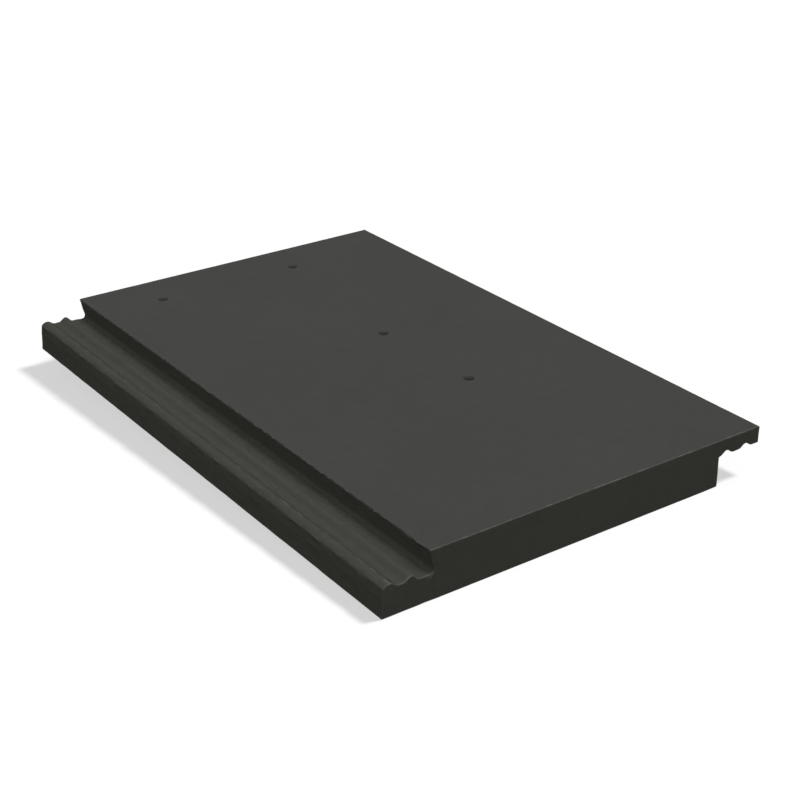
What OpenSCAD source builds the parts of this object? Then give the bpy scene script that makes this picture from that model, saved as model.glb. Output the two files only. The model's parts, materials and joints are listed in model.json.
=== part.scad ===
// Flat interlocking concrete roof tile, cast and extruded as one piece.
// X runs across the roof from the underlock to the overlock, Y runs up the roof from the nose
// to the head, and Z is square to the top face. The origin is in the middle of the tile in
// plan, at the level of the undersides of the nibs. The tile bears on its batten in the plane
// z = nib_drop, and heights inside the section are measured from that bearing plane.

/* [Tile] */
// Length from the nose to the head
tile_l = 420; // [360:5:480]
// Laying pitch across the roof
cover_w = 251; // [230:1:300]
// Open joint between the top faces of two neighbouring tiles
joint_gap = 1; // [1:0.5:4]
// Depth from the top face to the bearing plane
tile_t = 31.5; // [30:0.5:36]
// Rounding of the arrises
arris_r = 0.7; // [0.4:0.1:1.2]
// Lean of the two outer side walls, which frees the tile from its mould
wall_draft = 0.5; // [0.25:0.25:1]

/* [Side lock] */
// Width of the rebate that takes the neighbouring tile's overlock
underlock_w = 32; // [30:0.5:38]
// Height of the outer channel's floor above the bearing plane
channel_z = 17.8; // [16.4:0.2:18.4]
// Extra depth of the inner channel, which carries the water
inner_drop = 1.2; // [0.4:0.2:2]
// Height of the ribs above the outer channel's floor
rib_h = 2.6; // [2:0.2:3.6]
// Distance from the tile's edge to the crest of the outer rib
outer_rib_x = 5.2; // [4:0.1:6]
// Distance between the crests of the two ribs
rib_pitch = 14.5; // [13:0.5:15.5]
// Width of a rib's flank, from its crest to the channel floor
flank_w = 5.5; // [4:0.5:6.5]
// Distance between the overlock's two notches, the inner of which lies over the inner rib
notch_pitch = 16; // [15:0.5:16.5]
// Headroom between the two halves of the lock when the tiles are laid
lock_play = 2.6; // [2:0.2:3.6]
// Gap between the tile's side wall and the next tile's underlock
side_gap = 2; // [1:0.2:3]
// Undercut of the rebate's inner wall
undercut = 2.6; // [0.4:0.2:3]
// Fillet between the inner channel and the rebate's wall
channel_r = 2; // [1:0.25:3]
// Fillet under the root of the overlock
root_r = 0.75; // [0.5:0.25:1.25]

/* [Underside] */
// Number of pans that lighten the underside
pan_count = 4; // [3:1:5]
// Depth of the pans
pan_depth = 16; // [8:0.5:18]
// Width of the ribs between the pans
web_w = 12; // [10:1:18]
// Solid margin beside the outermost pans
side_land = 8; // [6:1:14]
// Solid land behind the nose
nose_land = 48; // [40:1:70]
// Solid land at the head, which bears on the batten
head_land = 84; // [75:1:100]
// Draft of the pans' walls and of the nibs' free faces
mould_draft = 3; // [1:0.25:4]
// Number of weather grooves across the nose land, which leave the foot ribs between them
groove_count = 2; // [1:1:2]
// Distance from the nose to the middle of the first groove, and from groove to groove
groove_pitch = 14; // [12:0.5:15]
// Width of a weather groove at its mouth
groove_w = 8; // [5:0.5:9]
// Depth of a weather groove
groove_depth = 6; // [3:0.5:8]

/* [Nibs] */
// How far the nibs hang below the bearing plane
nib_drop = 12; // [9:0.5:16]
// Width of a nib at its root
nib_w = 45; // [30:1:60]
// Length of a nib at its root, along the slope of the roof
nib_l = 20; // [16:1:26]
// Distance between the middles of the two nibs
nib_pitch = 140; // [110:5:150]
// Distance from the head to the nibs
nib_setback = 2; // [0:0.5:8]

/* [Nail holes] */
// Diameter of the nail holes
hole_d = 6; // [5:0.5:8]
// Distance from the left edge of the top face to the first head hole
head_hole_x = 49; // [40:0.5:60]
// Distance between the two head holes
head_hole_pitch = 110; // [90:1:120]
// Distance from the head to the head holes
head_hole_y = 35; // [32:0.5:40]
// Distance from the left edge of the top face to the middle hole
mid_hole_x = 143.5; // [135:0.5:147]
// Distance from the nose to the middle hole
mid_hole_y = 245; // [220:0.5:260]
// Distance from the left edge of the top face to the lower hole
low_hole_x = 147; // [135:0.5:148]
// Distance from the nose to the lower hole
low_hole_y = 155; // [130:0.5:180]

/* [Hidden] */

concrete = "#484743";
eps = 1;
flank_steps = 8;
arc_steps = 5;
hole_facets = 48;

tile_w = underlock_w + cover_w - joint_gap;
rib_z = channel_z + rib_h;
inner_z = channel_z - inner_drop;
inner_rib_x = outer_rib_x + rib_pitch;
outer_rib_r = outer_rib_x - wall_draft;
rebate_x = underlock_w + undercut;
side_x = cover_w - side_gap;
over_z = channel_z + lock_play;
notch_z = rib_z + lock_play;
inner_notch_x = cover_w + inner_rib_x;
outer_notch_x = inner_notch_x - notch_pitch;
root_x = side_x - wall_draft + root_r;

pan_x0 = rebate_x + side_land;
pan_x1 = side_x - side_land;
pan_w = (pan_x1 - pan_x0 - (pan_count - 1) * web_w) / pan_count;
pan_y0 = nose_land;
pan_y1 = tile_l - head_land;
nib_y = tile_l - nib_setback - nib_l;
nibs_x = underlock_w + head_hole_x + head_hole_pitch / 2;

// Points along an arc from angle a0 to angle a1
function arc(x, z, r, a0, a1) =
    [for (i = [0 : arc_steps]) let (a = a0 + (a1 - a0) * i / arc_steps) [x + r * cos(a), z + r * sin(a)]];

// Points of a flank that leaves one level and meets the next with no kink
function flank(x0, z0, x1, z1) =
    [for (i = [0 : flank_steps]) let (t = i / flank_steps)
        [x0 + (x1 - x0) * t, z0 + (z1 - z0) * (1 - cos(180 * t)) / 2]];

// Left half of the side lock: outer wall, two ribs, two channels and the rebate's wall
function underlock() = concat(
    arc(arris_r, arris_r, arris_r, 270, 180),
    arc(outer_rib_x, rib_z - outer_rib_r, outer_rib_r, 180, 90),
    flank(outer_rib_x, rib_z, outer_rib_x + flank_w, channel_z),
    flank(inner_rib_x - flank_w, channel_z, inner_rib_x, rib_z),
    flank(inner_rib_x, rib_z, inner_rib_x + flank_w, inner_z),
    arc(rebate_x - channel_r, inner_z + channel_r, channel_r, 270, 360),
    arc(underlock_w + arris_r, tile_t - arris_r, arris_r, 180, 90));

// Right half of the side lock: edge of the overlock, its two notches and the body's side wall
function overlock() = concat(
    arc(tile_w - arris_r, tile_t - arris_r, arris_r, 90, 0),
    arc(tile_w - arris_r, over_z + arris_r, arris_r, 360, 270),
    flank(inner_notch_x + flank_w, over_z, inner_notch_x, notch_z),
    flank(inner_notch_x, notch_z, inner_notch_x - flank_w, over_z),
    flank(outer_notch_x + flank_w, over_z, outer_notch_x, notch_z),
    flank(outer_notch_x, notch_z, root_x, over_z),
    arc(root_x, over_z - root_r, root_r, 90, 180),
    arc(side_x - arris_r, arris_r, arris_r, 360, 270));

// Turns an outline in X and Z into a bar that runs from y0 to y1
module bar_y(y0, y1) {
    translate([0, y1, 0]) rotate([90, 0, 0]) linear_extrude(y1 - y0) children();
}

// Turns an outline in Y and Z into a bar that runs from x0 to x1
module bar_x(x0, x1) {
    translate([x0, 0, 0]) rotate([90, 0, 90]) linear_extrude(x1 - x0) children();
}

// Outline that narrows from z = 0 to its tip, by taper0 on one side and taper1 on the other, with
// a straight collar on the far side of z = 0 that carries it into or out of the solid
module tapered(a0, a1, tip, taper0, taper1) {
    collar = -sign(tip) * eps;
    polygon([[a0, collar], [a0, 0], [a0 + taper0, tip], [a1 - taper1, tip], [a1, 0], [a1, collar]]);
}

// Block that narrows towards its tip on every side except, if nose_taper is 0, the nose's
module drafted_block(x0, x1, y0, y1, tip, nose_taper) {
    intersection() {
        bar_y(y0, y1) tapered(x0, x1, tip, mould_draft, mould_draft);
        bar_x(x0, x1) tapered(y0, y1, tip, nose_taper, mould_draft);
    }
}

// Cuts a rounded arris along the top of the nose or the head
module end_arris(y, inward) {
    bar_x(-eps, tile_w + eps)
        difference() {
            polygon([[y - inward * eps, tile_t + eps], [y - inward * eps, tile_t - arris_r],
                     [y + inward * arris_r, tile_t - arris_r], [y + inward * arris_r, tile_t + eps]]);
            translate([y + inward * arris_r, tile_t - arris_r]) circle(arris_r, $fn = hole_facets);
        }
}

// Pan in the underside
module pan(x0) {
    drafted_block(x0, x0 + pan_w, pan_y0, pan_y1, pan_depth, mould_draft);
}

// Weather groove across the nose land, which stops wind-driven water
module weather_groove(y) {
    bar_x(pan_x0, pan_x1)
        tapered(y - groove_w / 2, y + groove_w / 2, groove_depth, groove_w / 5, groove_w / 5);
}

// Nib that hangs the tile on its batten: its face towards the nose is square to the batten
module nib(x) {
    drafted_block(x - nib_w / 2, x + nib_w / 2, nib_y, nib_y + nib_l, -nib_drop, 0);
}

// Nail hole through the whole depth of the tile
module nail_hole(x, y) {
    translate([x, y, -eps]) cylinder(h = tile_t + 2 * eps, d = hole_d, $fn = hole_facets);
}

module roof_tile() {
    color(concrete)
    translate([-tile_w / 2, -tile_l / 2, nib_drop]) {
        difference() {
            bar_y(0, tile_l) polygon(concat(underlock(), overlock()));
            end_arris(0, 1);
            end_arris(tile_l, -1);
            for (i = [0 : pan_count - 1]) pan(pan_x0 + i * (pan_w + web_w));
            for (i = [1 : groove_count]) weather_groove(i * groove_pitch);
            for (side = [0, 1]) {
                nail_hole(underlock_w + head_hole_x + side * head_hole_pitch, tile_l - head_hole_y);
            }
            nail_hole(underlock_w + mid_hole_x, mid_hole_y);
            nail_hole(underlock_w + low_hole_x, low_hole_y);
        }
        for (side = [-1, 1]) nib(nibs_x + side * nib_pitch / 2);
    }
}

roof_tile();
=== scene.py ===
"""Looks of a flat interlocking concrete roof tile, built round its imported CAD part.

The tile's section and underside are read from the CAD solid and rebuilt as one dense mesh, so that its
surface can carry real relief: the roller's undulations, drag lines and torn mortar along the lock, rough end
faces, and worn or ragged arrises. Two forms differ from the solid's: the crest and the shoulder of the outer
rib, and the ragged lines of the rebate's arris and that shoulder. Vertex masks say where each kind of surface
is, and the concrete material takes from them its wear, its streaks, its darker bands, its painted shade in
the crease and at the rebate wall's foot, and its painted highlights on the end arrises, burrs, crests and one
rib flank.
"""

import itertools
import json
import math

import bmesh
import bpy
import numpy as np
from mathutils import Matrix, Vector, geometry, kdtree
from mathutils.bvhtree import BVHTree


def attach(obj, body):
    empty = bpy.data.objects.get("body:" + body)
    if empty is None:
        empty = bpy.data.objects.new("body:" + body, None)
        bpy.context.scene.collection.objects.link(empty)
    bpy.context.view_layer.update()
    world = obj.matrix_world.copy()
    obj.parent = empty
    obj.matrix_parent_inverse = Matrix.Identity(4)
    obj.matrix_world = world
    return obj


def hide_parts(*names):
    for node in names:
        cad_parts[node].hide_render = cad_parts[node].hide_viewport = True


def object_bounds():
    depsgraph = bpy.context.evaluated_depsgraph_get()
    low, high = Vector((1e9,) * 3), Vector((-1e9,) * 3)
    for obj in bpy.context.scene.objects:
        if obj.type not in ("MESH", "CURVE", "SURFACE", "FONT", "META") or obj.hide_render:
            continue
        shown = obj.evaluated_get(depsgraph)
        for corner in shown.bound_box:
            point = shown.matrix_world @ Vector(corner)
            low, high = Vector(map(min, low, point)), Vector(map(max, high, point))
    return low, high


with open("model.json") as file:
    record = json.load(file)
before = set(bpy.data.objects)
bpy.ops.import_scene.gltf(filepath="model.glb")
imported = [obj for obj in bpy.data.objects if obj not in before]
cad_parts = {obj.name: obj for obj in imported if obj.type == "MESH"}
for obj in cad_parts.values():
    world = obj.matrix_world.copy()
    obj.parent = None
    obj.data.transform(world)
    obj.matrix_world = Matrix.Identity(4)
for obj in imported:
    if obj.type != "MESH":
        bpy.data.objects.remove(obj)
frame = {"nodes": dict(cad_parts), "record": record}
cad_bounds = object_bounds()

MM = 0.001

# ------------------------------------------------------------------ sizes of the rebuilt mesh
TOP_STEP = 2.8 * MM  # spacing of the mesh across the top face
LOCK_STEP = 0.9 * MM  # spacing round the side lock and the side walls
BASE_STEP = 4.5 * MM  # spacing across the underside
RING_STEP = 2.3 * MM  # spacing of the rings from the nose to the head
CAP_STEP = 1.7 * MM  # spacing of the points inside the two end faces
EDGE_GAP = 0.2 * MM  # half the width of the strip that follows each edge of the underside
END_R = 0.4 * MM  # rounding of the arrises round the two end faces
END_RINGS = 3  # rings in that rounding
PLAIN_Y = 40 * MM  # distance from the nose at which the section has no groove, pan or hole
PAN_ROOM = 17 * MM  # height above the underside that holds its pans and grooves
HOLE_SIDES = 36
HOLE_STEP = 3 * MM  # spacing of the rings down a nail hole
HOLE_FLARE = 0.75 * MM  # how much wider the rim of a nail hole is than its shaft
SHARP_ANGLE = math.radians(42)
LEVEL_TOLERANCE = 1e-6  # metres within which two heights count as the same

# ------------------------------------------------------------------ the side lock: rib, crease, burrs, dark bands, painted shade and highlights
RIB_ROOM = 8 * MM  # reach of the outer rib on either side of its crest
CREST_FLAT = 0.7 * MM  # width of the flat on its crest
SHOULDER_GROWTH = 1.08  # how much flatter its shoulder is than the CAD's, so that an arris ends it
SHOULDER_POINTS = 7
SHOULDER_INSET = 0.6 * MM  # how far that arris lies behind the wall below it
SHOULDER_FALL = 5 * MM  # height over which the wall leans back to it
CREST_DEPTH = 0.45 * MM  # depth below the ribs' crests to which these are rubbed and given a painted highlight
CREST_RUB_AND_LIGHT = 0.02  # share of worn colour on the crests, as wear and painted highlight
FLANK_LIGHT = 0.36  # share of it as painted light on the flank of the inner rib that faces the water channel and the key lamp
FLANK_X = 17 * MM  # from the shoulder to where that flank may start
CREASE_X = 9.0  # mm from the shoulder to the crease at the foot of the outer rib
CREASE_REACH = 5.0  # mm to either side
CREASE_WIDTH = 0.45  # mm from the middle of the crease to where its painted shade ends
BURR_HIGHLIGHT_X = 3.3  # mm from the crease to the painted highlights on the burrs beside it
BURR_HIGHLIGHT_WIDTH = 0.6  # mm from the middle of those highlights to where they end
DARK_BAND_DEPTH = 8 * MM  # depth below the top face from which the lock is darkened
# Darker bands along the lock, the last of them painted shade in the corner at the foot of the rebate's wall:
# mm from the tile's left edge, half width in mm, share of dark colour
DARK_BANDS = ((3.2, 1.7, 0.11), (16.2, 1.7, 0.12), (19.6, 1.3, 0.03), (34.9, 1.4, 0.24))
WALL_ROOM = 4 * MM  # how far the rebate's wall leans in under the top face

# ------------------------------------------------------------------ relief: depth and size of blobs
SEED = 11
ROLLED = (0.08 * MM, (70 * MM, 90 * MM, 70 * MM))  # undulation left by the roller
PRESSED = (0.03 * MM, (9 * MM, 12 * MM, 9 * MM))  # unevenness of the pressed mortar
GRAINY = (0.03 * MM, (3 * MM, 3.5 * MM, 3 * MM))  # the coarser sand under the skin
DRAGGED = (0.18 * MM, (2.2 * MM, 12 * MM, 2.2 * MM))  # drag lines along the side lock
TORN = (0.9 * MM, (2 * MM, 4.5 * MM, 2 * MM))  # the torn mortar between the outer rib's crest and the crease
TORN_X = 2.0  # mm from the crease to the middle of it
TORN_WIDTH = 2.2  # mm over which it fades out
CUT_FACE = (0.10 * MM, (2.3 * MM, 2.3 * MM, 3.2 * MM))  # grain of the cut end faces
LEVEL = 0.05 * MM  # depth of the relief that is taken off again, to keep the faces close to the CAD's
ARRIS_WAVES = (1.0 * MM, (4.5 * MM, 4.5 * MM, 4.5 * MM))  # wear along the arrises
SERRATED = (1.6 * MM, (3.3 * MM, 3.3 * MM, 3.3 * MM))  # sideways raggedness of the rebate's arris
SHOULDER_SHARE = 0.42  # share of it on the outer rib's shoulder
SERRATED_WIDTH = 1.1 * MM  # reach of that raggedness round each of the two arrises
PLAIN_END = 10 * MM  # distance from each end over which it fades out
ARRIS_NICKS = (0.8 * MM, (3.4 * MM, 3.8 * MM, 3.4 * MM))  # small chips in the arrises
CRISP = 0.12  # share of that wear on every arris but the rebate's
NICK_LEVEL = 0.5  # share of the noise's range above which it is a chip
WORN_AND_GLINT_STRIP = 0.75 * MM  # width of the strip beside the rounding of an end face that is worn and carries a painted highlight
MATERIAL_MASKS = ("arris", "end_arris", "lock", "end", "under", "rub_and_painted_light", "dark_band", "crease")
ARRIS_WIDTH = 0.8 * MM  # length over which a turn of the outline counts as one arris
ARRIS_TURN = math.radians(38)  # turn of the outline above which it starts to count as an arris
ARRIS_RANGE = math.radians(30)  # further turn by which it counts fully
NOISE_VALUES = 8192  # length of the table of random values behind the noise
NOISE_PRIMES = (73856093, 19349663, 83492791)  # spread a cell's numbers over that table

# ------------------------------------------------------------------ colours, light and view
WHITE = (1.0, 1.0, 1.0, 1.0)
SKIN_COLOUR = (0.0525, 0.0528, 0.0496, 1.0)  # the rolled skin of the top face
BARE_COLOUR = (0.0545, 0.0547, 0.0472, 1.0)  # the mortar of the lock, the cut ends and the underside
WORN_AND_HIGHLIGHT_COLOUR = (0.124, 0.121, 0.110, 1.0)  # the mortar where its skin is rubbed off, and the colour of the painted highlights on the end arrises, burrs, rib crests and the inner rib's flank
CONCRETE_SPECULAR = 0.2
PALE_GRAIN = (0.150, 0.143, 0.125, 1.0)
# the colour of nearly black grains and pores, and of the painted shade in the crease and the dark bands
DARK_GRAIN_AND_SHADE = (0.018, 0.018, 0.017, 1.0)
FLOOR_COLOUR = (0.98, 0.98, 0.98, 1.0)
FLOOR_SHADE = 0.232  # how much of the floor's look comes from its light, the rest is its own glow
FLOOR_GLOW = 0.778
FLOOR_REACH = 4.0  # half the side of the floor
FLOOR_GAP = 0.05 * MM  # how far the floor lies below the points that touch it
THROWN = 0.041  # light that the floor throws back on the tile
AMBIENT = 0.26  # share of the light that comes evenly from all round
# Lamps: azimuth clockwise from +Y, elevation and width in degrees, and share of full light on a level face
KEY = (146, 76, 28, 0.502)
FILL = (228, 40, 20, 0.240)
UNDER = (180, -90, 10, 0.50)
FLOOR_LAMP = (105, 58, 12, 1.59)
FILL_COLOUR = (1.0, 0.985, 0.92)
CAMERA_AZIMUTH = 180 + 35.0521  # from which the camera looks, clockwise from +Y
CAMERA_ELEVATION = 25.7190
CAMERA_DISTANCE = 1.0682975
CAMERA_SENSOR = 36  # mm
CAMERA_LENS = 72.6087  # mm
CAMERA_SHIFT = (0.0358, -0.0194)


# ------------------------------------------------------------------ reading the CAD solid
def welded(obj):
    """The object's mesh as a bmesh with its split vertices joined."""
    bm = bmesh.new()
    bm.from_mesh(obj.data)
    bmesh.ops.remove_doubles(bm, verts=bm.verts, dist=1e-6)
    return bm


def without_collinear(points):
    """The corners of an outline, without the points that lie on a straight stretch."""
    before, after = np.roll(points, 1, axis=0), np.roll(points, -1, axis=0)
    span = after - before
    off = np.abs(span[:, 0] * (points - before)[:, 1] - span[:, 1] * (points - before)[:, 0])
    return points[off > 1e-6 * np.linalg.norm(span, axis=1)]


def section_at(bm, y):
    """Closed outline of the solid at one y, as an array of x and z that runs anticlockwise."""
    cut = bm.copy()
    parts = cut.verts[:] + cut.edges[:] + cut.faces[:]
    found = bmesh.ops.bisect_plane(cut, geom=parts, dist=1e-8, plane_co=(0, y, 0), plane_no=(0, 1, 0))
    edges = [e for e in found["geom_cut"] if isinstance(e, bmesh.types.BMEdge)]
    near = {}
    for e in edges:
        for here, there in (e.verts, reversed(e.verts)):
            near.setdefault(here, []).append(there)
    walk = [edges[0].verts[0], edges[0].verts[1]]
    while True:
        ahead = [v for v in near[walk[-1]] if v is not walk[-2]]
        if not ahead or ahead[0] is walk[0]:
            break
        walk.append(ahead[0])
    points = np.array([(v.co.x, v.co.z) for v in walk])
    cut.free()
    after = np.roll(points, -1, axis=0)
    if np.sum(points[:, 0] * after[:, 1] - after[:, 0] * points[:, 1]) < 0:
        points = points[::-1]
    return without_collinear(points)


def with_shoulder(corners):
    """The section with a flat on the outer rib's crest and an arris at its shoulder, and that arris."""
    near = np.flatnonzero(corners[:, 0] < cad_bounds[0].x + RIB_ROOM)
    crest = near[np.argmax(corners[near, 1])]
    corners = np.roll(corners, -crest, axis=0)
    x, z = corners[0]
    wall = np.flatnonzero(corners[:, 1] < z - RIB_ROOM)[0] - 1
    radius = x - corners[wall, 0]
    flatter = radius * SHOULDER_GROWTH
    shoulder = [
        (x - flatter * math.sin(t), z - flatter * (1 - math.cos(t)))
        for t in np.linspace(0, math.asin((radius - SHOULDER_INSET) / flatter), SHOULDER_POINTS)
    ]
    rest = corners[wall:].copy()
    rest[0, 1] = shoulder[-1][1] - SHOULDER_FALL
    flank = (rest[:, 1] > z - RIB_ROOM) & (rest[:, 0] > x) & (rest[:, 0] < x + RIB_ROOM)
    rest[flank, 0] += CREST_FLAT
    return np.concatenate([[(x + CREST_FLAT, z)], shoulder, rest]), shoulder[-1]


def nail_holes(bm, top):
    """Middle and radius of each round hole in the top face."""
    lo, hi = cad_bounds
    margin = 5 * MM
    level = [v.co.xy for v in bm.verts if abs(v.co.z - top) < LEVEL_TOLERANCE]
    rim = [p for p in level if lo.y + margin < p.y < hi.y - margin]
    groups = []
    for p in rim:
        group = next((g for g in groups if (g[0] - p).length < 4 * margin), None)
        if group:
            group.append(p)
        else:
            groups.append([p])
    holes = []
    for group in groups:
        xs, ys = [p.x for p in group], [p.y for p in group]
        middle = Vector(((min(xs) + max(xs)) / 2, (min(ys) + max(ys)) / 2))
        holes.append((middle, (max(xs) - min(xs)) / 2))
    return holes


def underside_lines(bm, base, holes):
    """The x and y at which the underside's pans, grooves and nibs have their edges."""
    xs, ys = set(), set()
    for v in bm.verts:
        near_hole = any((v.co.xy - middle).length < radius + 0.5 * MM for middle, radius in holes)
        on_end = min(abs(v.co.y - cad_bounds[0].y), abs(v.co.y - cad_bounds[1].y)) < 2 * MM
        if v.co.z < base + PAN_ROOM and not near_hole and not on_end:
            xs.add(round(v.co.x, 5))
            ys.add(round(v.co.y, 5))
    return sorted(xs), sorted(ys)


# ------------------------------------------------------------------ the mesh of the tile
def spaced(start, end, step, lines=()):
    """Values from start to end at about the step, with a close pair on either side of each line."""
    low, high = min(start, end), max(start, end)
    fixed = [start, end]
    for line in lines:
        fixed += [p for p in (line - EDGE_GAP, line + EDGE_GAP) if low + EDGE_GAP < p < high - EDGE_GAP]
    fixed = sorted(set(fixed), reverse=end < start)
    values = []
    for a, b in zip(fixed, fixed[1:]):
        count = max(1, round(abs(b - a) / step))
        values += [a + (b - a) * i / count for i in range(count)]
    return values + [end]


def dense_outline(corners, base, top, x_lines):
    """The section's outline with close points, and a mark on those that lie on the underside."""
    points, under = [], []
    for a, b in zip(corners, np.roll(corners, -1, axis=0)):
        level = abs(a[1] - b[1]) < LEVEL_TOLERANCE
        if level and abs(a[1] - base) < LEVEL_TOLERANCE:
            xs = spaced(a[0], b[0], BASE_STEP, x_lines)
            points += [(x, base) for x in xs[:-1]]
            under += [False] + [True] * (len(xs) - 2)
            continue
        step = TOP_STEP if level and abs(a[1] - top) < LEVEL_TOLERANCE else LOCK_STEP
        count = max(1, math.ceil(np.linalg.norm(b - a) / step))
        points += [tuple(a + (b - a) * i / count) for i in range(count)]
        under += [False] * count
    return np.array(points), np.array(under)


def outward(points):
    """Unit normals of a closed anticlockwise outline at its points."""
    edge = np.roll(points, -1, axis=0) - points
    edge /= np.linalg.norm(edge, axis=1)[:, None]
    normal = np.stack([edge[:, 1], -edge[:, 0]], axis=1)
    both = normal + np.roll(normal, 1, axis=0)
    return both / np.linalg.norm(both, axis=1)[:, None]


def arris_share(points):
    """How much each point of an outline lies on an arris, from 0 to 1, by how fast the outline turns."""
    edge = np.roll(points, -1, axis=0) - points
    length = np.linalg.norm(edge, axis=1)
    angle = np.unwrap(np.arctan2(edge[:, 1], edge[:, 0]))
    turn = (angle - np.roll(angle, 1) + math.pi) % (2 * math.pi) - math.pi
    along = np.concatenate([[0], np.cumsum(length)[:-1]])
    gap = np.abs(along[:, None] - along[None, :])
    gap = np.minimum(gap, length.sum() - gap)
    turned = (np.exp(-((gap / ARRIS_WIDTH) ** 2)) * turn[None, :]).sum(axis=1)
    return np.clip((turned - ARRIS_TURN) / ARRIS_RANGE, 0, 1)


def inside(points, outline):
    """Which of the points lie inside a closed outline."""
    hit = np.zeros(len(points), bool)
    for (x0, z0), (x1, z1) in zip(outline, np.roll(outline, -1, axis=0)):
        if z0 == z1:
            continue
        crosses = (points[:, 1] > min(z0, z1)) & (points[:, 1] <= max(z0, z1))
        hit ^= crosses & (points[:, 0] < x0 + (points[:, 1] - z0) * (x1 - x0) / (z1 - z0))
    return hit


def triangulated(points, edges):
    """Triangles of flat points that keep the given edges, as places in points."""
    flat = [Vector(p) / MM for p in points]
    made = geometry.delaunay_2d_cdt(flat, edges, [], 0, 1e-5)
    origin = [old[0] for old in made[3]]
    return [[origin[k] for k in t] for t in made[2]]


def loop_edges(count, start=0):
    """Edges of a closed row of points with consecutive numbers."""
    return [(start + k, start + (k + 1) % count) for k in range(count)]


def cap_triangles(outline, rng):
    """Jittered points inside an end face, and the triangles of its outline's points and these."""
    lo, hi = outline.min(axis=0), outline.max(axis=0)
    xs = np.arange(lo[0], hi[0], CAP_STEP)
    zs = np.arange(lo[1], hi[1], CAP_STEP)
    grid = np.stack(np.meshgrid(xs, zs), axis=-1).reshape(-1, 2)
    grid += rng.uniform(-0.3, 0.3, grid.shape) * CAP_STEP
    grid = grid[inside(grid, outline)]
    gap = np.linalg.norm(grid[:, None, :] - outline[None, :, :], axis=2).min(axis=1)
    grid = np.concatenate([outline - outward(outline) * END_R, grid[gap > END_R + 0.45 * CAP_STEP]])
    every = np.concatenate([outline, grid])
    triangles = np.array(triangulated(every, loop_edges(len(outline))))
    return grid, triangles[inside(every[triangles].mean(axis=1), outline)]


def ring_places(y_lines):
    """The y of each ring from the nose to the head, and how far it is drawn in to round the arris."""
    lo, hi = cad_bounds
    turns = [math.pi / 2 * k / END_RINGS for k in range(END_RINGS)]
    ends = [(END_R * (1 - math.cos(t)), END_R * (1 - math.sin(t))) for t in turns]
    ends += [(END_R + share * WORN_AND_GLINT_STRIP, 0.0) for share in (0.0, 0.4, 1.0)]
    middle = spaced(lo.y + ends[-1][0], hi.y - ends[-1][0], RING_STEP, y_lines)[1:-1]
    rings = [(lo.y + y, inset) for y, inset in ends] + [(y, 0.0) for y in middle]
    return rings + [(hi.y - y, inset) for y, inset in reversed(ends)]


class Skin:
    """Points and faces as they are gathered."""

    def __init__(self):
        self.points = np.zeros((0, 3))
        self.faces = []

    def add(self, points):
        """Numbers of the added points, in the shape of their array."""
        first = len(self.points)
        flat = points.reshape(-1, 3)
        self.points = np.concatenate([self.points, flat])
        return np.arange(first, first + len(flat)).reshape(points.shape[:-1])

    def used(self):
        """The points that faces use, and the faces by the numbers of these."""
        kept = np.unique([k for face in self.faces for k in face])
        place = np.zeros(len(self.points), int)
        place[kept] = np.arange(len(kept))
        return self.points[kept].tolist(), [place[face].tolist() for face in self.faces]

    def bridge(self, one, other):
        """Quads from one closed row of points to the next."""
        quads = np.stack([one, np.roll(one, -1), np.roll(other, -1), other], axis=-1)
        self.faces += quads.tolist()


def body_points(bm_tree, outline, under, base, rings):
    """The rings of points from the nose to the head, with the underside's pans, grooves and nibs."""
    normals = outward(outline)
    verts = np.zeros((len(rings), len(outline), 3))
    for row, (y, inset) in enumerate(rings):
        ring = outline - normals * inset
        verts[row, :, 0], verts[row, :, 1], verts[row, :, 2] = ring[:, 0], y, ring[:, 1]
        if inset:
            continue
        for k in np.flatnonzero(under):
            verts[row, k, 2] = underside_height(bm_tree, ring[k, 0], y, base)
    return verts


def underside_height(bm_tree, x, y, base):
    """Height of the underside at x and y, with its pans, grooves and nibs."""
    hit = bm_tree.ray_cast(Vector((x, y, cad_bounds[0].z - 1)), Vector((0, 0, 1)))[0]
    return hit.z if hit and hit.z < base + PAN_ROOM else base


def hole_rings(middle, radius, top, floor_heights, rng):
    """Rings of points down a nail hole, from its worn rim at the top face to the underside."""
    angles = np.arange(HOLE_SIDES) * 2 * math.pi / HOLE_SIDES
    worn = sum(
        rng.uniform(0.02, 0.06) * MM * np.cos(order * angles + rng.uniform(0, 2 * math.pi))
        for order in (2, 3, 5)
    )
    steps = [(0.0, HOLE_FLARE), (HOLE_FLARE, HOLE_FLARE / 4), (3 * HOLE_FLARE, 0.0)]
    depth = top - floor_heights.mean()
    steps += [(d, 0.0) for d in spaced(3 * HOLE_FLARE, depth, HOLE_STEP)[1:-1]]
    rings = []
    for down, flare in steps + [(None, 0.0)]:
        reach = radius + flare + worn * flare / HOLE_FLARE
        z = floor_heights if down is None else np.full(HOLE_SIDES, top - down)
        rings.append(
            np.stack([middle.x + reach * np.cos(angles), middle.y + reach * np.sin(angles), z], axis=1)
        )
    return rings


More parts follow.
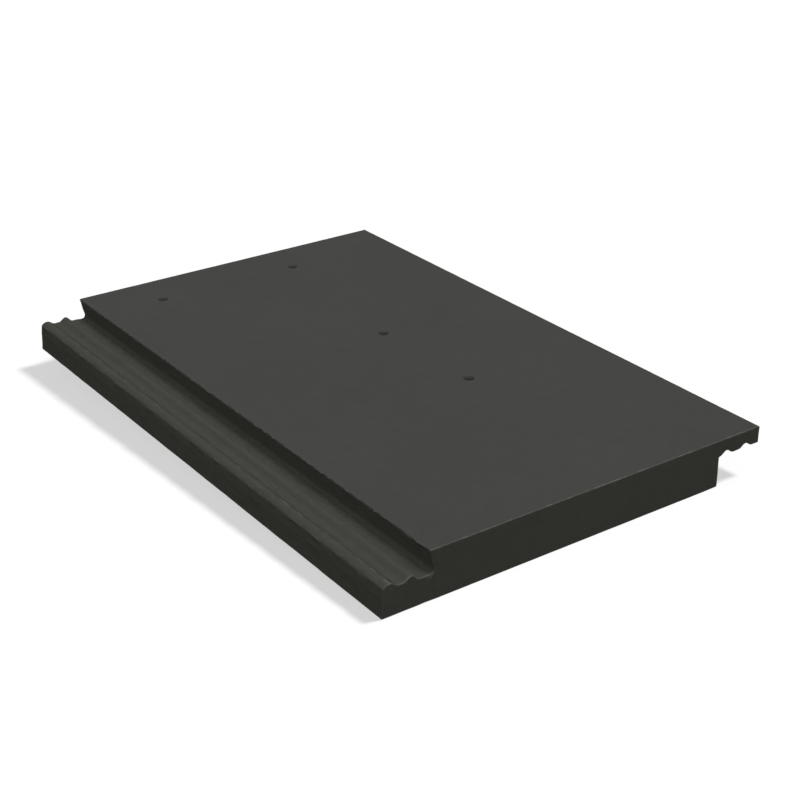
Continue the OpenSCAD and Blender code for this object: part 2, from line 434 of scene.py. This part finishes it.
def open_block(skin, index, columns, middle, ring, reach, upward):
    """Rows and columns of the quads round a hole, after their place is filled up to the hole's ring."""
    places = skin.points[index]
    middle_row = len(index) // 2
    rows = np.flatnonzero(np.abs(places[:, columns[0], 1] - middle.y) < reach)
    cols = columns[np.abs(places[middle_row, columns, 0] - middle.x) < reach]
    r0, r1, c0, c1 = rows[0] - 1, rows[-1] + 1, cols.min() - 1, cols.max() + 1
    block = index[r0 : r1 + 1, c0 : c1 + 1]
    border = np.concatenate([block[0, :-1], block[:-1, -1], block[-1, :0:-1], block[:0:-1, 0]])
    within = block[1:-1, 1:-1].ravel()
    rim = np.hypot(*(skin.points[ring, :2] - middle[:]).T).max()
    gap = np.hypot(*(skin.points[within, :2] - middle[:]).T)
    every = np.concatenate([border, ring, within[gap > rim + 0.5 * MM]])
    flat = skin.points[every, :2]
    edges = loop_edges(len(border)) + loop_edges(len(ring), len(border))
    for t in triangulated(flat, edges):
        if not inside(flat[t].mean(axis=0)[None], skin.points[ring, :2])[0]:
            corners = every[t].tolist()
            skin.faces.append(corners if upward else corners[::-1])
    return r0, r1, c0, c1


def build_tile_mesh(bm, outline, under, base, top, rings, holes):
    """Points and faces of the tile, with its nail holes."""
    rng = np.random.default_rng(SEED)
    tree = BVHTree.FromBMesh(bm)
    skin = Skin()
    index = skin.add(body_points(tree, outline, under, base, rings))
    open_cells = np.ones(index[:-1].shape, bool)
    on_top = np.flatnonzero(np.abs(outline[:, 1] - top) < LEVEL_TOLERANCE)
    for middle, radius in holes:
        angles = np.arange(HOLE_SIDES) * 2 * math.pi / HOLE_SIDES
        near = radius + 0.02 * MM
        heights = np.array(
            [
                underside_height(tree, middle.x + near * math.cos(a), middle.y + near * math.sin(a), base)
                for a in angles
            ]
        )
        ids = [skin.add(ring) for ring in hole_rings(middle, radius, top, heights, rng)]
        for upper, lower in zip(ids, ids[1:]):
            skin.bridge(upper, lower)
        for columns, ring, upward in ((on_top, ids[0], True), (np.flatnonzero(under), ids[-1], False)):
            r0, r1, c0, c1 = open_block(skin, index, columns, middle, ring, radius + 2.5 * MM, upward)
            open_cells[r0:r1, c0:c1] = False
    after = np.roll(index, -1, axis=1)
    quads = np.stack([index[:-1], index[1:], after[1:], after[:-1]], axis=-1)
    skin.faces += quads[open_cells].tolist()
    for row, forward in ((0, True), (-1, False)):
        ends = skin.points[index[row]]
        grid, triangles = cap_triangles(ends[:, [0, 2]], rng)
        fresh = skin.add(np.stack([grid[:, 0], np.full(len(grid), ends[0, 1]), grid[:, 1]], axis=1))
        every = np.concatenate([index[row], fresh])
        for t in every[triangles].tolist():
            skin.faces.append(t if forward else t[::-1])
    return skin.used()


# ------------------------------------------------------------------ relief
def noise(points, size, seed):
    """Smooth noise from -1 to 1 whose blobs have the given size along x, y and z."""
    table = np.random.default_rng(seed).uniform(-1, 1, NOISE_VALUES)
    at = points / np.array(size)
    cell = np.floor(at).astype(np.int64)
    part = at - cell
    part = part * part * (3 - 2 * part)
    total = np.zeros(len(points))
    for corner in itertools.product((0, 1), repeat=3):
        weight = np.where(corner, part, 1 - part).prod(axis=1)
        parts = (cell + corner) * NOISE_PRIMES
        key = parts[:, 0] ^ parts[:, 1] ^ parts[:, 2]
        total += weight * table[key % len(table)]
    return total


def smooth_step(low, high, value):
    """0 up to low, 1 from high on, and a smooth rise between."""
    share = np.clip((value - low) / (high - low), 0, 1)
    return share * share * (3 - 2 * share)


def surface_masks(points, normals, outline, share, holes, lock_edges, shoulder, base, top):
    """For each point, its share of each kind of surface, and its distance from the crease in mm."""
    tree = kdtree.KDTree(len(outline))
    for k, (x, z) in enumerate(outline):
        tree.insert((x, 0, z), k)
    tree.balance()
    side = np.zeros(len(points))
    depth = np.zeros(len(points))
    for k, (x, _, z) in enumerate(points):
        _, nearest, gap = tree.find((x, 0, z))
        side[k] = share[nearest] * (gap < 2 * ARRIS_WIDTH)
        depth[k] = gap
    lo, hi = cad_bounds
    to_end = np.minimum(points[:, 1] - lo.y, hi.y - points[:, 1])
    end_arris = 1 - smooth_step(END_R, END_R + WORN_AND_GLINT_STRIP, to_end)
    end_arris *= 1 - smooth_step(END_R, END_R + WORN_AND_GLINT_STRIP, depth)
    end = smooth_step(0.5, 0.95, np.abs(normals[:, 1])) * (to_end < END_R)
    below = points[:, 2] < hi.z - 2 * MM
    in_lock = (points[:, 0] < lock_edges[0]) | (points[:, 0] < lock_edges[0] + WALL_ROOM) & below
    in_lock |= (points[:, 0] > lock_edges[1]) & below
    on_ribs = (points[:, 0] < lock_edges[0]) & (normals[:, 2] > 0)
    crests = max(z for x, z in outline if x < lock_edges[0])
    crest = smooth_step(crests - CREST_DEPTH, crests, points[:, 2])
    # the inner rib's flank that faces +X, towards the key lamp, is given painted light
    flank = smooth_step(0.15, 0.5, normals[:, 0]) * (points[:, 0] > shoulder[0] + FLANK_X)
    from_ends = smooth_step(0, PLAIN_END, to_end)
    rebate = (lock_edges[0] + MM, top)
    ragged = np.zeros(len(points))
    for (x, z), weight in ((rebate, 1.0), (shoulder, SHOULDER_SHARE)):
        out = np.hypot(points[:, 0] - x, points[:, 2] - z) / SERRATED_WIDTH
        ragged += weight * np.exp(-(out**2)) * from_ends
    from_crease = (points[:, 0] - shoulder[0]) / MM - CREASE_X
    # darker bands on the lock's upward faces; the one at the rebate wall's foot is painted shade in that
    # corner
    dark_band = np.zeros(len(points))
    for x, width, weight in DARK_BANDS:
        out = ((points[:, 0] - lo.x) / MM - x) / width
        dark_band += weight * np.exp(-(out**2)) * (normals[:, 2] > 0) * (points[:, 2] < top - DARK_BAND_DEPTH)
    from_hole = np.full(len(points), 1.0)
    for middle, radius in holes:
        out = np.hypot(points[:, 0] - middle.x, points[:, 1] - middle.y) - radius
        from_hole = np.minimum(from_hole, out)
    return {
        "arris": np.maximum(side, end_arris),
        # the upward part of the end arrises, where the material paints a highlight
        "end_arris": end_arris * smooth_step(0.1, 0.5, normals[:, 2]),
        "lock": in_lock * (1 - end),
        "ragged": ragged,
        "torn": on_ribs * np.exp(-(((from_crease + TORN_X) / TORN_WIDTH) ** 2)) * from_ends,
        "dark_band": dark_band,
        "rub_and_painted_light": on_ribs * (CREST_RUB_AND_LIGHT * crest + FLANK_LIGHT * flank),
        "crease": np.where(on_ribs, np.clip(from_crease, -CREASE_REACH, CREASE_REACH), CREASE_REACH),
        "rebate": np.exp(-(((points[:, 0] - lock_edges[0]) / (3 * MM)) ** 2)),
        "end": end,
        "under": smooth_step(0.4, 0.8, -normals[:, 2]) * (points[:, 2] < base + PAN_ROOM),
        "hole": 1 - smooth_step(HOLE_FLARE, 3 * HOLE_FLARE, from_hole),
    }


def inward_depth(points, masks):
    """How far each point of the tile's surface lies below the CAD solid's."""

    def blobs(kind, seed):
        return kind[0] * (0.5 + 0.5 * noise(points, kind[1], SEED + seed))

    depth = blobs(ROLLED, 1) + blobs(PRESSED, 2) + blobs(GRAINY, 3)
    depth += blobs(DRAGGED, 4) * masks["lock"] + blobs(CUT_FACE, 5) * masks["end"]
    depth += TORN[0] * np.maximum(0, noise(points, TORN[1], SEED + 9)) * masks["torn"]
    nicks = np.maximum(0, noise(points, ARRIS_NICKS[1], SEED + 7) - NICK_LEVEL)
    wear = ARRIS_WAVES[0] * np.maximum(0, noise(points, ARRIS_WAVES[1], SEED + 6))
    wear += ARRIS_NICKS[0] * nicks
    depth += wear * masks["arris"] * (CRISP + (1 - CRISP) * masks["rebate"])
    return np.maximum(0, depth - LEVEL) * (1 - masks["hole"])


def sideways(points, masks):
    """How far the lock's two long arrises are off their lines at each point, across the tile."""
    off = SERRATED[0] * noise(points, SERRATED[1], SEED + 8) * masks["ragged"]
    return np.maximum(off, np.minimum(0, cad_bounds[0].x - points[:, 0]))


def press_relief(mesh, masks_of):
    """Presses the relief into the mesh, bends the ragged arrises and stores the material's masks."""
    count = len(mesh.vertices)
    points, normals = np.empty(3 * count), np.empty(3 * count)
    mesh.vertices.foreach_get("co", points)
    mesh.vertex_normals.foreach_get("vector", normals)
    points, normals = points.reshape(-1, 3), normals.reshape(-1, 3)
    masks = masks_of(points, normals)
    points -= normals * inward_depth(points, masks)[:, None]
    points[:, 0] += sideways(points, masks)
    mesh.vertices.foreach_set("co", points.ravel())
    for name in MATERIAL_MASKS:
        layer = mesh.attributes.new(name, "FLOAT", "POINT")
        layer.data.foreach_set("value", masks[name])
    mesh.update()


# ------------------------------------------------------------------ material
def add(tree, kind, sockets=(), **settings):
    """A new shader node. A socket given as another node's output is linked to it."""
    fresh = tree.nodes.new("ShaderNode" + kind)
    for name, value in settings.items():
        setattr(fresh, name, value)
    for key, value in dict(sockets).items():
        if isinstance(value, bpy.types.NodeSocket):
            tree.links.new(value, fresh.inputs[key])
        else:
            fresh.inputs[key].default_value = value
    return fresh


def maths(tree, operation, *values):
    """The result of one Math node on numbers or sockets."""
    return add(tree, "Math", enumerate(values), operation=operation).outputs[0]


def spread(tree, value, low, high, start, end):
    """value mapped from low..high to start..end, and held there."""
    sockets = {"Value": value, "From Min": low, "From Max": high, "To Min": start, "To Max": end}
    return add(tree, "MapRange", sockets).outputs["Result"]


def blend(tree, share, first, second, how="MIX"):
    """Two colours mixed by share. Sockets 0, 6 and 7 are the factor and the two colours."""
    mixed = add(tree, "Mix", {0: share, 6: first, 7: second}, data_type="RGBA", blend_type=how)
    return mixed.outputs[2]


def mask(tree, name):
    """A mask that press_relief stored on the mesh."""
    return add(tree, "Attribute", attribute_name=name).outputs["Fac"]


def grain(tree, place, scale, detail=2.0, roughness=0.5, warp=0.0):
    """Noise from 0 to 1, with about scale blobs to the metre."""
    sockets = {"Vector": place, "Scale": scale, "Detail": detail, "Roughness": roughness, "Distortion": warp}
    return add(tree, "TexNoise", sockets).outputs["Fac"]


def cells(tree, place, scale):
    """Distance to the middle of scattered cells, and a random number for each cell."""
    found = add(tree, "TexVoronoi", {"Vector": place, "Scale": scale})
    chance = add(tree, "SeparateColor", {"Color": found.outputs["Color"]}).outputs["Red"]
    return found.outputs["Distance"], chance


def concrete_material():
    """Through-coloured dark concrete with sand, pores, drag lines, darker bands, a crease and worn arrises,
    with painted shade in the crease and at the rebate wall's foot and painted highlights on the end arrises,
    burrs, rib crests and the inner rib's flank.
    """
    mat = bpy.data.materials.new("concrete")
    mat.use_nodes = True
    tree = mat.node_tree
    shader = tree.nodes["Principled BSDF"]
    place = add(tree, "TexCoord").outputs["Object"]
    arris, end_arris, lock, end, under, rub_and_painted_light, dark_band, crease = (mask(tree, name) for name in MATERIAL_MASKS)
    bare = maths(tree, "MAXIMUM", lock, maths(tree, "MAXIMUM", end, under))

    clouds = grain(tree, place, 15.0, 3.0)
    patches = grain(tree, place, 95.0, 4.0)
    sand = grain(tree, place, 1500.0, 3.0, 0.6)
    along = add(tree, "Mapping", {"Vector": place, "Scale": (300.0, 85.0, 300.0)}).outputs["Vector"]
    lines = grain(tree, along, 1.0, 3.0, 0.6, 1.5)
    grain_gap, grain_kind = cells(tree, place, 900.0)
    pore_gap, pore_kind = cells(tree, place, 260.0)

    # brightness of the matrix
    tone = spread(tree, clouds, 0.25, 0.75, 0.965, 1.035)
    tone = maths(tree, "MULTIPLY", tone, spread(tree, patches, 0.25, 0.75, 0.97, 1.03))
    tone = maths(tree, "MULTIPLY", tone, spread(tree, sand, 0.25, 0.75, 0.94, 1.06))
    streak = spread(tree, lines, 0.3, 0.7, -0.10, 0.10)
    streak = maths(tree, "MULTIPLY", streak, spread(tree, lock, 0.0, 1.0, 0.04, 1.0))
    tone = maths(tree, "MULTIPLY_ADD", streak, tone, tone)
    colour = blend(tree, 1.0, blend(tree, bare, SKIN_COLOUR, BARE_COLOUR), tone, "MULTIPLY")

    # single grains of sand, pale or nearly black
    body = spread(tree, grain_gap, 0.25, 0.45, 1.0, 0.0)
    pale = maths(tree, "MULTIPLY", body, spread(tree, grain_kind, 0.975, 0.99, 0.0, 0.16))
    dark = maths(tree, "MULTIPLY", body, spread(tree, grain_kind, 0.08, 0.05, 0.0, 0.35))
    colour = blend(tree, pale, colour, PALE_GRAIN)
    colour = blend(tree, dark, colour, DARK_GRAIN_AND_SHADE)

    # pores, more of them in the cut ends and the underside
    often = spread(tree, maths(tree, "MAXIMUM", end, under), 0.0, 1.0, 0.012, 0.12)
    open_pore = maths(tree, "LESS_THAN", pore_kind, often)
    pore = maths(tree, "MULTIPLY", open_pore, spread(tree, pore_gap, 0.08, 0.17, 1.0, 0.0))
    colour = blend(tree, maths(tree, "MULTIPLY", pore, 0.6), colour, DARK_GRAIN_AND_SHADE)

    # darker bands along the lock, the one at the rebate wall's foot painted shade, and uneven painted shade
    # along the crease at the foot of the outer rib
    colour = blend(tree, dark_band, colour, DARK_GRAIN_AND_SHADE)
    wander = spread(tree, grain(tree, place, 75.0, 4.0), 0.3, 0.7, -1.1, 1.1)
    crease_groove_and_shade = maths(tree, "ABSOLUTE", maths(tree, "ADD", crease, wander))
    crease_groove_and_shade = spread(tree, crease_groove_and_shade, 0.0, CREASE_WIDTH, 1.0, 0.0)
    crease_groove_and_shade = maths(tree, "MULTIPLY", crease_groove_and_shade, spread(tree, patches, 0.46, 0.53, 0.0, 1.0))
    # painted shade along the crease, broken into patches; its groove also goes into the bump
    colour = blend(tree, maths(tree, "MULTIPLY", crease_groove_and_shade, 0.7), colour, DARK_GRAIN_AND_SHADE)

    # painted highlight in broken dashes on the burrs beside the crease
    burr_highlight = maths(tree, "ABSOLUTE", maths(tree, "ADD", maths(tree, "ADD", crease, wander), BURR_HIGHLIGHT_X))
    burr_highlight = spread(tree, burr_highlight, 0.0, BURR_HIGHLIGHT_WIDTH, 1.0, 0.0)
    burr_highlight = maths(tree, "MULTIPLY", burr_highlight, spread(tree, grain(tree, place, 120.0), 0.54, 0.58, 0.0, 1.0))

    # the skin is rubbed off the arrises a little and off the rib crests; painted highlights lie where the
    # ends meet the upper faces, stronger on the lock, and on the burrs, the crests and the inner rib's flank
    patchy_rub_and_light = spread(tree, patches, 0.35, 0.65, 0.35, 1.0)
    patchy_rub_and_light = maths(tree, "MULTIPLY", patchy_rub_and_light, spread(tree, grain(tree, place, 260.0), 0.4, 0.6, 0.5, 1.6))
    # painted highlight on the rounded end arrises, kept to the turning part of the rounding by its normal
    normal = add(tree, "NewGeometry").outputs["Normal"]
    facing = add(tree, "SeparateXYZ", {0: normal}).outputs["Y"]
    facing = maths(tree, "MULTIPLY", facing, facing)
    facing = spread(tree, facing, 0.5, 0.85, 0.75, 0.0)
    facing = maths(tree, "MULTIPLY", facing, spread(tree, lock, 0.0, 1.0, 1.0, 1.4))
    worn = maths(tree, "MULTIPLY", end_arris, facing)
    worn = maths(tree, "MULTIPLY_ADD", arris, 0.05, worn)
    # rubbed crests and painted light on the inner rib's flank, in patches
    worn = maths(tree, "MULTIPLY_ADD", worn, patchy_rub_and_light, rub_and_painted_light)
    worn = maths(tree, "MULTIPLY_ADD", burr_highlight, 0.75, worn)
    colour = blend(tree, worn, colour, WORN_AND_HIGHLIGHT_COLOUR)

    rough = spread(tree, sand, 0.25, 0.75, 0.72, 0.86)
    rough = maths(tree, "MULTIPLY_ADD", worn, 0.12, rough)

    # height in millimetres
    height = maths(tree, "MULTIPLY", sand, spread(tree, end, 0.0, 1.0, 0.05, 0.14))
    height = maths(tree, "MULTIPLY_ADD", patches, 0.05, height)
    height = maths(tree, "MULTIPLY_ADD", body, 0.015, height)
    height = maths(tree, "MULTIPLY_ADD", maths(tree, "MULTIPLY", lines, lock), 0.10, height)
    height = maths(tree, "MULTIPLY_ADD", pore, -0.35, height)
    height = maths(tree, "MULTIPLY_ADD", crease_groove_and_shade, -0.15, height)
    bump = add(tree, "Bump", {"Height": height, "Distance": MM, "Strength": 1.0})

    tree.links.new(colour, shader.inputs["Base Color"])
    tree.links.new(rough, shader.inputs["Roughness"])
    tree.links.new(bump.outputs["Normal"], shader.inputs["Normal"])
    shader.inputs["Specular IOR Level"].default_value = CONCRETE_SPECULAR
    return mat


def make_tile():
    """The dressed tile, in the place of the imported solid."""
    seats = {m["name"]: Vector(m["pos_m"]) for m in frame["record"]["mounts"]}
    base, top = seats["batten_seat"].z, seats["head_lap"].z
    bm = welded(frame["nodes"]["roof_tile"])
    holes = nail_holes(bm, top)
    corners, shoulder = with_shoulder(section_at(bm, cad_bounds[0].y + PLAIN_Y))
    x_lines, y_lines = underside_lines(bm, base, holes)
    outline, under = dense_outline(corners, base, top, x_lines)
    points, faces = build_tile_mesh(bm, outline, under, base, top, ring_places(y_lines), holes)
    bm.free()

    mesh = bpy.data.meshes.new("tile_surface")
    mesh.from_pydata(points, [], faces)
    on_top = outline[np.abs(outline[:, 1] - top) < LEVEL_TOLERANCE, 0]
    lock_edges = (on_top.min() - MM, outline[under, 0].max() + MM)
    share = arris_share(outline)

    def masks_of(at, out):
        return surface_masks(at, out, outline, share, holes, lock_edges, shoulder, base, top)

    press_relief(mesh, masks_of)
    mesh.shade_smooth()
    mesh.set_sharp_from_angle(angle=SHARP_ANGLE)
    mesh.materials.append(concrete_material())
    tile = bpy.data.objects.new("tile_surface", mesh)
    bpy.context.collection.objects.link(tile)
    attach(tile, "root")
    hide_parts("roof_tile")
    print("tile:", len(mesh.vertices), "points", sum(len(p.vertices) - 2 for p in mesh.polygons), "triangles")
    return tile, base, top


# ------------------------------------------------------------------ stage
def floor_material():
    """Near white to the camera with a pale shadow, clear from below, and grey to all other light."""
    mat = bpy.data.materials.new("floor")
    mat.use_nodes = True
    tree = mat.node_tree
    tree.nodes.clear()
    glow = add(tree, "Emission", {"Color": WHITE, "Strength": FLOOR_GLOW})
    pale = add(tree, "BsdfDiffuse", {"Color": FLOOR_COLOUR})
    seen = add(tree, "MixShader", {0: FLOOR_SHADE, 1: glow.outputs[0], 2: pale.outputs[0]})
    thrown = add(tree, "Emission", {"Color": WHITE, "Strength": THROWN})
    path = add(tree, "LightPath")
    by_camera = path.outputs["Is Camera Ray"]
    split = add(tree, "MixShader", {0: by_camera, 1: thrown.outputs[0], 2: seen.outputs[0]})
    face = add(tree, "NewGeometry")
    clear = add(tree, "BsdfTransparent")
    sided = add(tree, "MixShader", {0: face.outputs["Backfacing"], 1: split.outputs[0], 2: clear.outputs[0]})
    add(tree, "OutputMaterial", {"Surface": sided.outputs[0]})
    return mat


def make_floor(base):
    """The plane that the unheld tile lies on: the nose's lower arris and the nibs touch it."""
    seats = {m["name"]: Vector(m["pos_m"]) for m in frame["record"]["mounts"]}
    nib_y = seats["left_nib_face"].y
    lo = cad_bounds[0]
    slope = (lo.z - base) / (nib_y - lo.y)
    corners = []
    for x, y in ((-1, -1), (1, -1), (1, 1), (-1, 1)):
        x, y = x * FLOOR_REACH, y * FLOOR_REACH
        corners.append((x, y, base + slope * (y - lo.y) - FLOOR_GAP))
    mesh = bpy.data.meshes.new("floor")
    mesh.from_pydata(corners, [], [(0, 1, 2, 3)])
    mesh.materials.append(floor_material())
    floor = bpy.data.objects.new("floor", mesh)
    bpy.context.collection.objects.link(floor)
    return floor


def make_world():
    """Even light from all round, and white behind the floor."""
    world = bpy.data.worlds.new("studio")
    bpy.context.scene.world = world
    world.use_nodes = True
    tree = world.node_tree
    tree.nodes.clear()
    ambient = add(tree, "Background", {"Color": WHITE, "Strength": AMBIENT})
    white = add(tree, "Background", {"Color": WHITE})
    path = add(tree, "LightPath")
    by_camera = path.outputs["Is Camera Ray"]
    split = add(tree, "MixShader", {0: by_camera, 1: ambient.outputs[0], 2: white.outputs[0]})
    add(tree, "OutputWorld", {"Surface": split.outputs[0]})


def direction(azimuth, elevation):
    """Unit vector that points at an azimuth, clockwise from +Y, and an elevation, both in radians."""
    level = math.cos(elevation)
    return Vector((math.sin(azimuth) * level, math.cos(azimuth) * level, math.sin(elevation)))


def make_lamp(name, lamp, receiver, blocker=None, colour=WHITE[:3]):
    """A soft sun that lights one object only, and is blocked by one object only if that is given."""
    azimuth, elevation, width, share = lamp
    light = bpy.data.lights.new(name, "SUN")
    light.angle = math.radians(width)
    light.color = colour
    light.energy = share * math.pi / abs(math.sin(math.radians(elevation)))
    sun = bpy.data.objects.new(name, light)
    bpy.context.collection.objects.link(sun)
    sun.rotation_mode = "QUATERNION"
    towards = direction(math.radians(azimuth), math.radians(elevation))
    sun.rotation_quaternion = towards.to_track_quat("Z", "Y")
    sun.light_linking.receiver_collection = group_of(name + "_lights", receiver)
    if blocker:
        sun.light_linking.blocker_collection = group_of(name + "_is_blocked_by", blocker)


def group_of(name, member):
    """A collection for light linking that holds one object."""
    group = bpy.data.collections.new(name)
    group.objects.link(member)
    return group


def make_camera(base, top):
    """The camera at the photograph's viewing angle."""
    lo, hi = cad_bounds
    aim = Vector(((lo.x + hi.x) / 2, (lo.y + hi.y) / 2, (base + top) / 2))
    back = direction(math.radians(CAMERA_AZIMUTH), math.radians(CAMERA_ELEVATION))
    data = bpy.data.cameras.new("camera")
    data.sensor_width = CAMERA_SENSOR
    data.lens = CAMERA_LENS
    data.shift_x, data.shift_y = CAMERA_SHIFT
    camera = bpy.data.objects.new("camera", data)
    bpy.context.collection.objects.link(camera)
    camera.location = aim + back * CAMERA_DISTANCE
    camera.rotation_mode = "QUATERNION"
    camera.rotation_quaternion = back.to_track_quat("Z", "Y")
    bpy.context.scene.camera = camera


tile, base_z, top_z = make_tile()
floor = make_floor(base_z)
make_world()
make_lamp("key", KEY, tile)
make_lamp("fill", FILL, tile, colour=FILL_COLOUR)
make_lamp("under", UNDER, tile, blocker=tile)
make_lamp("floor_lamp", FLOOR_LAMP, floor)
make_camera(base_z, top_z)
bpy.context.scene.view_settings.view_transform = "Standard"
